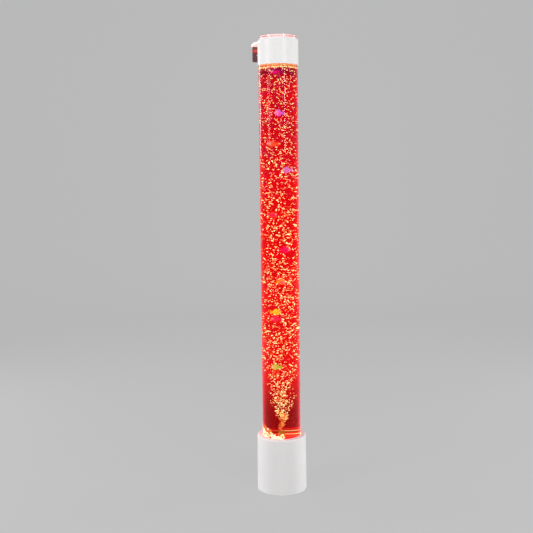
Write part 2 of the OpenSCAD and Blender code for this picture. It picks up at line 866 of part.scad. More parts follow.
module placed_fish(i) {
    f = FISH[i];
    translate([f[0], f[1] * lane_pitch, floor_top + f[2] * water_h])
        mirror([f[3] > 0 ? 1 : 0, 0, 0]) fish(f[4]);
}

module fish_01() { color("hotpink") placed_fish(0); }
module fish_02() { color("orange") placed_fish(1); }
module fish_03() { color("mediumpurple") placed_fish(2); }
module fish_04() { color("lightcoral") placed_fish(3); }
module fish_05() { color("magenta") placed_fish(4); }
module fish_06() { color("darkorange") placed_fish(5); }
module fish_07() { color("gold") placed_fish(6); }
module fish_08() { color("mediumvioletred") placed_fish(7); }
module fish_09() { color("yellowgreen") placed_fish(8); }
module fish_10() { color("orchid") placed_fish(9); }

// ---------------------------------------------------------------- parts

base_shell();
base_plate();
rubber_feet();
base_screws();
seat_screws();
tube_seat();
heat_sink();
heat_sink_screws();
led_board();
led_chips();
socket_panel();
dc_jack();
jack_nut();
power_button();
light_button();
button_board();
button_switches();
control_board();
board_components();
pump_body();
pump_cover();
pump_mounts();
air_hose_lower();
check_valve();
air_hose_upper();
wiring();
bubbler_fitting();
fitting_nut();
fitting_seal();
air_stone();
tube_floor();
tube();
top_collar();
lid_plate();
locating_ring();
wall_flange();
fish_01();
fish_02();
fish_03();
fish_04();
fish_05();
fish_06();
fish_07();
fish_08();
fish_09();
fish_10();
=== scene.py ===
"""Looks of a bubble tube floor lamp: water, bubbles, foam, moulded fish and finishes.

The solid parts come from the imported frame. This file adds the water column with its
bubbles, dresses every part in its finish and sets the studio. Lengths are metres.
The origin is on the floor under the tube, +Z is up and +Y points to the wall.
"""

import json
import math
import random

import bmesh
import bpy
import numpy as np
from bpy.props import FloatProperty, FloatVectorProperty, IntProperty, PointerProperty
from bpy.types import Operator, Panel, PropertyGroup
from mathutils import Matrix, Vector, noise


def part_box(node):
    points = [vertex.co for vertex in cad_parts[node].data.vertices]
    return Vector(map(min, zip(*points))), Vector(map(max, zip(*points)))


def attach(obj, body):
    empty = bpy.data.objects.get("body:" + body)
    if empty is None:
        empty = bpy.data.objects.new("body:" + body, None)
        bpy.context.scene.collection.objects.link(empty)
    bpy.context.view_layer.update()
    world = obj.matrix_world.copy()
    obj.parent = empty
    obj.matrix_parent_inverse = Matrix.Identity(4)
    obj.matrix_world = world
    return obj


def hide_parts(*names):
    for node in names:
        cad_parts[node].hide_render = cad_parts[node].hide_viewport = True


bl_info = {
    "name": "Bubble Tube Lamp",
    "version": (1, 0, 0),
    "blender": (4, 5, 0),
    "location": "View3D > Sidebar > Bubble Lamp",
    "description": "Fills and finishes a bubble tube floor lamp",
    "category": "Object",
}

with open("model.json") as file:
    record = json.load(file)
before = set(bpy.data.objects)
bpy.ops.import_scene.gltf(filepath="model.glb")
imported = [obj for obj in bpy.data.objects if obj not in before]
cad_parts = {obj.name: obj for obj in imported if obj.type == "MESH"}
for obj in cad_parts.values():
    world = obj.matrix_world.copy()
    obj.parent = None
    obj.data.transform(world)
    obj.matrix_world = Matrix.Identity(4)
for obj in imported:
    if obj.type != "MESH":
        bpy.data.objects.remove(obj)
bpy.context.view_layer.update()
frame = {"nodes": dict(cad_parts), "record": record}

MM = 0.001
FLOOR_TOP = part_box("tube_floor")[1].z
TUBE_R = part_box("tube")[1].x
TUBE_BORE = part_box("tube_floor")[1].x
COLLAR_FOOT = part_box("top_collar")[0].z
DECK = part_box("base_shell")[1].z
STONE_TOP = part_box("air_stone")[1].z
WATER_GAP = 6 * MM
WATER_TOP = COLLAR_FOOT - WATER_GAP
FISH_NAMES = sorted(n for n in frame["nodes"] if n.startswith("fish_"))

# Way from the tube's axis to the camera, in plan.
VIEW_AZIMUTH = math.atan2(-3.0846, -0.7668)
TO_CAMERA = Vector((math.cos(VIEW_AZIMUTH), math.sin(VIEW_AZIMUTH), 0))
RIGHT = Vector((-TO_CAMERA.y, TO_CAMERA.x, 0))
EYE_HEIGHT = 1.277
EYE_AWAY = 3.18
# Above this height the bubbles are finer and duller.
FINE_FROM = 1.35
# Between these heights the lowest bubbles turn amber.
AMBER_BELOW, AMBER_END = 0.295, 0.325
# The water's glow sets in between the first two heights and ends between the other two.
CLEAR_FOOT = (0.30, 0.52)
DIM_TOP = (1.70, 1.728)
# Middle of the knot of bubbles above the stone.
CLUMP_HEIGHT = 0.313
WATER_IOR = 1.333
ACRYLIC_IOR = 1.49

# Reach of the rising bubbles round the axis, by height: narrow at the stone.
PLUME_REACH_MM = (
    (STONE_TOP - 4 * MM, 7), (0.29, 11), (0.31, 19), (0.325, 25), (0.355, 34), (0.40, 38),
    (0.46, 43), (0.50, 52), (0.54, 63), (0.60, 71), (WATER_TOP, 72))
# How crowded the bubbles are, per length of tube.
PLUME_SHARE = (
    (STONE_TOP, 0.7), (0.30, 1.1), (0.36, 1.5), (0.45, 1.5), (0.60, 1.5), (0.9, 1.2),
    (1.2, 1.15), (1.4, 1.4), (WATER_TOP, 1.5))
# How far the bubbles lean to the right, as a share of the most.
PLUME_LEAN = ((0.28, 0), (0.32, 1), (0.42, 1), (0.5, 0))


# ---- settings

def colour(name, text, default):
    return FloatVectorProperty(
        name=name, description=text, subtype="COLOR", size=3, min=0, default=default)


def length(name, text, default):
    return FloatProperty(
        name=name, description=text, subtype="DISTANCE", unit="LENGTH", default=default)


def factor(name, text, default):
    return FloatProperty(name=name, description=text, min=0, default=default)


def count(name, text, default):
    return IntProperty(name=name, description=text, min=0, default=default)


class LampWaterSettings(PropertyGroup):
    # The water's red tint and absorption are painted light: they stand in for the lamp's red light
    # in the water.
    tint: colour("Tint", "Colour that water gives what is seen through it", (1.0, 0.0015, 0.0022))
    absorb: colour("Absorption", "Colour left by a long way through the water", (0.5, 0.37, 0.37))
    density: factor("Density", "Absorption of the water per metre", 8.0)
    glow: colour("Glow", "Colour of the light scattered in the water", (1.0, 0.001, 0.015))
    glow_near: factor("Near glow", "Strength of that light on the side towards the eye", 0.22)
    glow_far: factor("Far glow", "Strength of that light on the far side", 0.62)


class LampBubbleSettings(PropertyGroup):
    rising: count("Bubbles", "Rising bubbles in the tube", 5200)
    foam: count("Foam", "Bubbles in the foam on the water", 1500)
    heap: count("Heap", "Bubbles that cling to the foot", 620)
    small: length("Smallest", "Radius of the smallest bubble", 1.0 * MM)
    large: length("Largest", "Radius of the largest bubble", 2.1 * MM)
    seed: count("Seed", "Start of the random draws", 11)
    power: factor("Light", "Strength of the light that the bubbles catch", 1.0)


class LampFinishSettings(PropertyGroup):
    # The lid's and flange's tints darken and redden the clear acrylic: painted shade and painted
    # red light.
    lid: colour("Lid", "Tint of the clear lid", (0.52, 0.27, 0.32))
    flange: colour("Flange", "Tint of the wall flange", (0.24, 0.07, 0.085))
    edge_glow: colour("Edge glow", "Light that leaves the lid's polished edges", (0.95, 0.43, 0.38))


class LampStudioSettings(PropertyGroup):
    backdrop: colour("Backdrop", "Colour of the floor and backdrop", (0.5, 0.5, 0.505))
    ambient: factor("Ambient", "Strength of the even light from all round", 0.24)
    fronts: factor("Fronts", "Power of the two soft lights in front", 26.0)
    sides: factor("Sides", "Power of the two soft lights at the sides", 40.0)
    streaks: factor("Streaks", "Radiance of the small lamps that the clear tube mirrors", 20.0)
    top: factor("Top", "Power of the overhead light", 20.0)
    high: factor("High", "Power of the light high up in front", 5.0)
    focal: FloatProperty(name="Focal length", description="Lens in millimetres",
                         subtype="DISTANCE_CAMERA", default=53.32)


class LampSettings(PropertyGroup):
    water: PointerProperty(type=LampWaterSettings)
    bubbles: PointerProperty(type=LampBubbleSettings)
    finish: PointerProperty(type=LampFinishSettings)
    studio: PointerProperty(type=LampStudioSettings)


def settings():
    return bpy.context.scene.bubble_lamp


# ---- node helpers

def wire(source, target):
    target.id_data.links.new(source, target)


def feed(slot, value):
    """Joins a socket to an input, or sets the input to a number, a colour or a vector."""
    if isinstance(value, bpy.types.NodeSocket):
        wire(value, slot)
    elif slot.type == "RGBA":
        slot.default_value = (*value, 1)
    else:
        slot.default_value = value


def set_inputs(node, **values):
    for key, value in values.items():
        feed(node.inputs[key.replace("_", " ")], value)


def add_node(tree, kind, inputs=None, **values):
    """A new node: values are its settings, and inputs are numbers, colours or sockets."""
    node = tree.nodes.new("ShaderNode" + kind)
    for key, value in values.items():
        setattr(node, key, value)
    set_inputs(node, **(inputs or {}))
    return node


def maths(operation, *values):
    """A Math node whose inputs are sockets or plain numbers. Gives its output."""
    tree = next(v.id_data for v in values if isinstance(v, bpy.types.NodeSocket))
    node = add_node(tree, "Math", operation=operation)
    for slot, value in zip(node.inputs, values):
        feed(slot, value)
    return node.outputs[0]


def times(value, other):
    return maths("MULTIPLY", value, other)


def scaled(value, factor_by, offset):
    """The value times a factor, plus an offset."""
    return maths("MULTIPLY_ADD", value, factor_by, offset)


def minus(value, other):
    return maths("SUBTRACT", value, other)


def rest_of(share):
    """1 minus the share."""
    return maths("SUBTRACT", 1.0, share)


def size_of(value):
    return maths("ABSOLUTE", value)


def vector_maths(operation, place, other):
    """A Vector Math node. Gives its number for a product or distance, or else its vector."""
    node = add_node(place.id_data, "VectorMath", operation=operation)
    feed(node.inputs[0], place)
    feed(node.inputs[1], other)
    return node.outputs["Value" if operation in ("DOT_PRODUCT", "DISTANCE") else "Vector"]


def object_place(tree):
    return add_node(tree, "TexCoord").outputs["Object"]


def parts_of(vector):
    """The x, y and z of a vector."""
    return add_node(vector.id_data, "SeparateXYZ", {"Vector": vector}).outputs


def clouds(place, scale, detail, roughness=0.5, distortion=0.0):
    """The 0 to 1 value of a noise texture at a place."""
    return add_node(place.id_data, "TexNoise", {
        "Vector": place, "Scale": scale, "Detail": detail, "Roughness": roughness,
        "Distortion": distortion}).outputs["Fac"]


def smooth_step(value, low, high):
    """0 below low and 1 above high, with a soft change between."""
    return add_node(value.id_data, "MapRange",
                    {"Value": value, "From Min": low, "From Max": high},
                    interpolation_type="SMOOTHSTEP").outputs["Result"]


def faded(length, reach):
    """1 where a length is 0, with a soft change to 0 where it equals the reach."""
    return smooth_step(rest_of(maths("DIVIDE", size_of(length), reach)), 0.0, 1.0)


def blend_colours(share, low, high):
    """A colour between two, each a socket or a plain colour."""
    node = add_node(share.id_data, "Mix", data_type="RGBA")
    for slot, value in ((0, share), (6, low), (7, high)):
        feed(node.inputs[slot], value)
    return node.outputs[2]


def new_group(name, inputs, outputs):
    """A shader node group: its tree, what it is given and what it makes. Colours have 4 parts."""
    tree = bpy.data.node_groups.new(name, "ShaderNodeTree")
    for socket, value in inputs.items():
        kind = "NodeSocketFloat" if isinstance(value, float) else "NodeSocketColor"
        tree.interface.new_socket(socket, in_out="INPUT", socket_type=kind).default_value = value
    for socket in outputs:
        kind = "NodeSocketColor" if socket == "Colour" else "NodeSocketFloat"
        tree.interface.new_socket(socket, in_out="OUTPUT", socket_type=kind)
    given = tree.nodes.new("NodeGroupInput").outputs
    return tree, given, tree.nodes.new("NodeGroupOutput")


def placed_group(tree, group, **values):
    return add_node(tree, "Group", values, node_tree=group)


def new_material(name):
    """An empty material with a Principled shader: the material, its tree and the shader."""
    material = bpy.data.materials.new(name)
    material.use_nodes = True
    tree = material.node_tree
    tree.nodes.clear()
    shader = add_node(tree, "BsdfPrincipled")
    out = add_node(tree, "OutputMaterial")
    wire(shader.outputs["BSDF"], out.inputs["Surface"])
    return material, tree, shader


def through_water(seen, depth=30 * MM):
    """The light that shows as the given colour after the water in front, tinted red as painted
    light, has taken its share.
    """
    water = settings().water
    kept = [math.sqrt(tint) * math.exp(-water.density * (1 - absorb) * depth)
            for tint, absorb in zip(water.tint, water.absorb)]
    return tuple(light / share for light, share in zip(seen, kept))


# ---- effect groups

def moulded_group():
    """Fine grain, soft waviness and handling marks of a moulded or cast surface."""
    name = "moulded surface"
    if name in bpy.data.node_groups:
        return bpy.data.node_groups[name]
    tree, given, made = new_group(
        name, {"Colour": (0.8, 0.8, 0.8, 1), "Marked": (0.7, 0.7, 0.7, 1), "Grain": 900.0,
               "Waves": 18.0, "Marks": 0.3, "Gloss": 0.25, "Dull": 0.4},
        ("Colour", "Roughness", "Height"))
    place = object_place(tree)
    waves = clouds(place, given["Waves"], 3.0)
    grain = clouds(place, given["Grain"], 2.0, 0.6)
    marks = clouds(place, times(given["Waves"], 3.7), 6.0, 0.7, 1.5)
    spread = times(smooth_step(marks, 0.45, 0.75), given["Marks"])
    patchy = maths("ADD", times(waves, 0.6), spread)
    set_inputs(made, Colour=blend_colours(spread, given["Colour"], given["Marked"]),
               Roughness=scaled(minus(given["Dull"], given["Gloss"]), patchy, given["Gloss"]),
               Height=scaled(waves, 4.0, grain))
    return tree


def ring_light_group():
    """Light round the tube's axis: full at a height and radius, fading out from there.

    Side turns the bright side towards an azimuth. Object coordinates keep it on the part.
    """
    name = "ring light"
    if name in bpy.data.node_groups:
        return bpy.data.node_groups[name]
    tree, given, made = new_group(
        name, {"Height": 0.0, "Rise": 0.1, "Radius": 0.08, "Reach": 0.02, "Azimuth": 0.0,
               "Side": 0.0, "Focus": 1.5}, ("Mask",))
    x, y, z = parts_of(object_place(tree))
    radius = maths("SQRT", maths("ADD", times(x, x), times(y, y)))
    near = faded(minus(radius, given["Radius"]), given["Reach"])
    level = faded(minus(z, given["Height"]), given["Rise"])
    turn = minus(maths("ARCTAN2", y, x), given["Azimuth"])
    facing = maths("POWER", scaled(maths("COSINE", turn), 0.5, 0.5), given["Focus"])
    share = scaled(minus(facing, 1.0), given["Side"], 1.0)
    set_inputs(made, Mask=times(times(near, level), share))
    return tree


def ring_light(tree, **values):
    """The mask of one ring of light."""
    return placed_group(tree, ring_light_group(), **values).outputs["Mask"]


# ---- finishes

# Slot: colour, marked colour, glossy and dull roughness, metallic, bump height in
# millimetres, grain per metre.
FINISHES = {
    "white_gloss": ((0.84, 0.83, 0.825), (0.79, 0.78, 0.77), 0.34, 0.46, 0, 0.02, 900),
    "grey_plastic": ((0.62, 0.62, 0.61), (0.5, 0.5, 0.5), 0.4, 0.55, 0, 0.05, 1200),
    "black_rubber": ((0.025, 0.025, 0.026), (0.07, 0.068, 0.065), 0.6, 0.9, 0, 0.12, 1600),
    "steel_zinc": ((0.66, 0.66, 0.64), (0.5, 0.5, 0.5), 0.22, 0.45, 1, 0.03, 2400),
    "sink_aluminium": ((0.75, 0.76, 0.77), (0.6, 0.61, 0.62), 0.3, 0.5, 1, 0.04, 1800),
    "board_green": ((0.02, 0.13, 0.05), (0.01, 0.08, 0.03), 0.25, 0.4, 0, 0.03, 2200),
    "black_plastic": ((0.02, 0.02, 0.021), (0.05, 0.05, 0.05), 0.3, 0.5, 0, 0.05, 1500),
    "button_grey": ((0.42, 0.43, 0.44), (0.36, 0.36, 0.37), 0.3, 0.45, 0, 0.04, 1500),
    "pump_grey": ((0.16, 0.18, 0.21), (0.22, 0.24, 0.27), 0.45, 0.65, 0, 0.08, 900),
    "valve_white": ((0.7, 0.7, 0.68), (0.6, 0.6, 0.58), 0.3, 0.45, 0, 0.03, 1400),
    "wire_red": ((0.5, 0.03, 0.025), (0.4, 0.03, 0.03), 0.35, 0.5, 0, 0.03, 2000),
    "brass": ((0.78, 0.55, 0.2), (0.5, 0.32, 0.12), 0.2, 0.4, 1, 0.03, 2000),
}


def moulded_skin(shader, bump, distance, **values):
    """Feeds a shader's colour, roughness and normal from the moulded surface group."""
    look = placed_group(shader.id_data, moulded_group(), **values).outputs
    bump = add_node(shader.id_data, "Bump",
                    {"Strength": bump, "Distance": distance, "Height": look["Height"]})
    set_inputs(shader, Base_Color=look["Colour"], Roughness=look["Roughness"],
               Normal=bump.outputs["Normal"])


def surface(name, slot):
    """A moulded, metal or rubber finish from the table: material, tree and shader."""
    base, marked, gloss, dull, metal, bump_mm, grain = FINISHES[slot]
    material, tree, shader = new_material(name)
    moulded_skin(shader, 0.35, bump_mm * MM, Colour=base, Marked=marked, Grain=grain,
                 Gloss=gloss, Dull=dull)
    set_inputs(shader, Metallic=metal)
    return material, tree, shader


def clear_plastic(name, tint, rough, ior=ACRYLIC_IOR, waviness=0.12, scuffed=0.05):
    """Polished clear acrylic with faint waves and hairline scuffs."""
    material, tree, shader = new_material(name)
    moulded_skin(shader, waviness, 0.02 * MM, Colour=tint, Marked=[0.94 * c for c in tint],
                 Grain=700.0, Waves=9.0, Marks=0.15, Gloss=rough, Dull=rough + scuffed)
    set_inputs(shader, Transmission_Weight=1.0, IOR=ior)
    return material, tree, shader


def shared_surface(slot):
    """The one material of a slot, made when it's first asked for."""
    name = slot.replace("_", " ")
    return bpy.data.materials.get(name) or surface(name, slot)[0]


def dress(material, *nodes):
    """Puts one material on CAD parts."""
    for node in nodes:
        slots = frame["nodes"][node].data.materials
        slots.clear()
        slots.append(material)


def slot_of(node):
    for part in frame["record"]["subparts"]:
        if part.get("node", part.get("name")) == node:
            return part["material_slot"]
    raise ValueError(f"no material slot is recorded for {node}")


def dress_plain(*nodes):
    """Puts the finish of its own slot on each CAD part."""
    for node in nodes:
        dress(shared_surface(slot_of(node)), node)


def glow_with(shader, mask, light, power=1.0):
    """Light on a shader: a colour times a varying mask, at a plain strength."""
    set_inputs(shader, Emission_Color=blend_colours(mask, (0, 0, 0), light),
               Emission_Strength=power)


def quiet(material):
    """Keeps a glowing material out of the list of lamps: it's seen but lights nothing sharply."""
    material.cycles.emission_sampling = "NONE"
    return material


# ---- mesh helpers

def linked_piece(mesh):
    """A smooth object in the scene, with the name of its mesh."""
    mesh.shade_smooth()
    piece = bpy.data.objects.new(mesh.name, mesh)
    bpy.context.scene.collection.objects.link(piece)
    return piece


def mesh_object(name, points, faces):
    mesh = bpy.data.meshes.new(name)
    mesh.from_pydata([tuple(p) for p in points], [], [tuple(f) for f in faces])
    mesh.update()
    return linked_piece(mesh)


def polar(radius, angle, z):
    return Vector((radius * math.cos(angle), radius * math.sin(angle), z))


def lathe(name, profile, segments=96):
    """A closed body turned round Z from points (radius, z) that start and end on the axis."""
    points = [polar(r, 2 * math.pi * k / segments, z)
              for r, z in profile[1:-1] for k in range(segments)]
    bottom, top = len(points), len(points) + 1
    points += [(0, 0, profile[0][1]), (0, 0, profile[-1][1])]
    last = bottom - segments
    sides = [(k, (k + 1) % segments) for k in range(segments)]
    faces = [(i + a, i + b, i + b + segments, i + a + segments)
             for i in range(0, last, segments) for a, b in sides]
    for a, b in sides:
        faces += [(bottom, b, a), (top, last + a, last + b)]
    return mesh_object(name, points, faces)


def drop_template():
    """Points and faces of a small round drop."""
    made = bmesh.new()
    bmesh.ops.create_icosphere(made, subdivisions=2, radius=1.0)
    points = np.array([v.co[:] for v in made.verts])
    faces = np.array([[v.index for v in f.verts] for f in made.faces])
    made.free()
    return points, faces


def drops_object(name, bubbles, rng, stretch, bend):
    """Many uneven bubbles as one mesh: each is drawn out, bent like a cap, dented and turned.

    Bubbles are places and sizes. Those at the wall are flattened against it.
    """
    unit, unit_faces = drop_template()
    points, faces = [], []
    for i, (place, size) in enumerate(bubbles):
        long = size * rng.uniform(1.0, stretch)
        dent = 1 + 0.14 * np.sin(unit @ np.array((2.1, 1.7, 2.6)) + rng.uniform(0, 6))
        shaped = unit * dent[:, None] * (long, size * rng.uniform(0.7, 1.0), 0.75 * size)
        shaped[:, 2] -= bend * rng.random() * long * unit[:, 0] ** 2
        turn = Vector((rng.gauss(0, 1), rng.gauss(0, 1), rng.gauss(0, 1))).normalized()
        turned = Matrix.Rotation(rng.uniform(0, math.pi), 3, turn)
        points.append(shaped @ np.array(turned).T + np.array(place))
        faces.append(unit_faces + i * len(unit))
    points = np.vstack(points)
    radii = np.hypot(points[:, 0], points[:, 1])
    points[:, :2] *= np.minimum(1, (TUBE_BORE - 0.3 * MM) / radii)[:, None]
    return mesh_object(name, points, np.vstack(faces))


# ---- bubbles

def read_off(marks, z):
    """The value at a height, from a table of heights and values."""
    return float(np.interp(z, *zip(*marks)))


def fish_spaces():
    """Centre of every fish and half its size across the view, along it and upwards."""
    spaces = []
    for name in FISH_NAMES:
        low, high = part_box(name)
        half = (high - low) / 2
        across = abs(half.x * RIGHT.x) + abs(half.y * RIGHT.y)
        spaces.append(((low + high) / 2, across * 0.9, half.y * 1.2, half.z * 0.85))
    return spaces


def clear_of(place, spaces):
    """Whether a place is outside every fish and the calm water between it and the front."""
    for centre, across, deep, tall in spaces:
        away = place - centre
        ahead = away.dot(TO_CAMERA)
        if ahead > 0:
            rise = (EYE_HEIGHT - centre.z) / (EYE_AWAY * WATER_IOR)
            away -= ahead * (TO_CAMERA + Vector((0, 0, rise)))
            ahead = 0.0
        side = away.dot(RIGHT)
        if (side / across) ** 2 + (ahead / deep) ** 2 + (away.z / tall) ** 2 < 1:
            return False
    return True


def rising_bubbles(rng, count, small, large):
    spaces = fish_spaces()
    bubbles = []
    while len(bubbles) < count:
        z = rng.uniform(STONE_TOP, WATER_TOP - 4 * MM)
        if rng.uniform(0, 1.6) > read_off(PLUME_SHARE, z):
            continue
        size = small + (large - small) * rng.random() ** 2.2
        if z > FINE_FROM:
            size = rng.uniform(1.0, 1.8) * MM
        angle = rng.uniform(0, 2 * math.pi)
        ragged = noise.noise(polar(2, angle, z * 40))
        reach = MM * read_off(PLUME_REACH_MM, z) * (1 + 0.5 * ragged * (z < 0.56)) - size
        radius = min(reach, TUBE_BORE - 2 * size) * rng.random() ** 0.5
        sway = 5 * MM * noise.noise(Vector((0.5, 0.5, z * 45))) * (z < 0.34)
        sway += 4 * MM * read_off(PLUME_LEAN, z)
        place = polar(radius, angle, z) + sway * RIGHT
        swirl = noise.noise(place * 22.0)
        if swirl >= rng.uniform(-0.7, 0.1) and clear_of(place, spaces):
            bubbles.append((place, size))
    return bubbles


def shadow_bubbles(rng, count):
    """Dark bubbles near the wall in the upper water, where little light comes."""
    for _ in range(count):
        z = WATER_TOP - 4 * MM - 0.5 * rng.random() ** 1.3
        angle = rng.uniform(0, 2 * math.pi)
        size = rng.uniform(1.1, 2.4) * MM
        radius = (TUBE_BORE - 2 * size) * rng.uniform(0.6, 1.0)
        yield polar(radius, angle, z), size


def clump_bubbles(rng, count):
    """A dense knot in the rising bubbles above the stone, to the right of the axis."""
    for _ in range(count):
        z = rng.gauss(CLUMP_HEIGHT, 0.009)
        side = (rng.gauss(7, 4.5) - 250 * (z - CLUMP_HEIGHT)) * MM
        deep = rng.gauss(0, 4) * MM
        yield side * RIGHT + deep * TO_CAMERA + Vector((0, 0, z)), rng.uniform(1.6, 3.6) * MM


def foam_bubbles(rng, count, middle, spread):
    """Foam that clings to the wall round the water's surface, both ways from an azimuth."""
    for _ in range(count):
        size = rng.uniform(0.9, 2.2) * MM
        angle = middle + rng.uniform(-spread, spread)
        radius = TUBE_BORE - size - abs(rng.gauss(0, 3.0)) * MM
        lift = 2.5 * noise.noise(polar(3, angle, 0))
        z = WATER_TOP + min(rng.uniform(-8, 9) + lift, 9.0) * MM
        yield polar(radius, angle, z), size


def heap_bubbles(rng, count):
    """Foam heaped against the wall at the tube's foot, on the side left of the front."""
    left = VIEW_AZIMUTH - math.radians(88)
    front = VIEW_AZIMUTH + math.radians(8)
    for _ in range(count):
        share = rng.random() ** 1.5
        top = 52 - 30 * share + 12 * noise.noise(Vector((share * 14, 0.3, 0)))
        size = rng.uniform(2.0, 4.6) * MM
        radius = TUBE_BORE - size - abs(rng.gauss(0, 4.0)) * MM
        z = FLOOR_TOP + size + max(0.0, top - 6) * MM * rng.random() ** 0.8
        if share > 0.3 and noise.noise(Vector((share * 9, 2.2, z * 90))) < -0.12:
            continue
        yield polar(radius, left + (front - left) * share, z), size


def crest_bubbles(rng, count):
    """Dull red bubbles that lie on top of the heap, at its high end."""
    left = VIEW_AZIMUTH - math.radians(84)
    for _ in range(count):
        share = rng.random()
        size = rng.uniform(1.8, 4.2) * MM
        radius = TUBE_BORE - size - abs(rng.gauss(0, 3.0)) * MM
        z = FLOOR_TOP + (46 - 14 * share + rng.uniform(-4, 13)) * MM
        yield polar(radius, left + math.radians(46) * share, z), size


def bubble_light(name, power, looks, shares, depth, zoned=False, topside=0.4):
    """Bubbles with painted light from below, each at its own level. Zoned ones turn amber at foot
    and top.

    Looks are the colours that bright, warm and deep bubbles show through the water. Shares are
    the parts of the bubbles that are deep, and deep or warm. Topside is the share of its light
    that a bubble keeps on its upper side.
    """
    bright, warm, deep = (through_water(look, depth) for look in looks)
    material, tree, shader = new_material(name)
    geometry = add_node(tree, "NewGeometry").outputs
    under = smooth_step(times(parts_of(geometry["Normal"])[2], -1.0), -0.7, 0.1)
    height = parts_of(object_place(tree))[2]
    if zoned:
        dull = smooth_step(height, FINE_FROM - 0.25, FINE_FROM + 0.15)
        bright = blend_colours(dull, bright, through_water((2.5, 1.8, 0.7), depth))
        bright = blend_colours(smooth_step(height, AMBER_END, AMBER_BELOW), bright,
                               through_water((1.2, 0.36, 0.07), TUBE_BORE))
        deep = blend_colours(dull, deep, through_water((0.4, 0.005, 0.12), depth))
        warm = blend_colours(dull, warm, through_water((0.85, 0.1, 0.14), depth))
    chance = geometry["Random Per Island"]
    warmed = smooth_step(chance, shares[0] - 0.04, shares[0] + 0.04)
    lit = smooth_step(chance, shares[1] - 0.08, shares[1] + 0.08)
    shade = blend_colours(lit, blend_colours(warmed, deep, warm), bright)
    shade = blend_colours(scaled(under, 1 - topside, topside), deep, shade)
    dry = smooth_step(height, WATER_TOP - 1 * MM, WATER_TOP + 0.5 * MM)
    open_air = blend_colours(lit, (1.0, 0.14, 0.04), (1.1, 0.55, 0.2))
    set_inputs(shader, Emission_Color=blend_colours(dry, shade, open_air),
               Emission_Strength=power, Base_Color=(0.06, 0.03, 0.03),
               Roughness=scaled(chance, 0.2, 0.2))
    return quiet(material)


# ---- operators

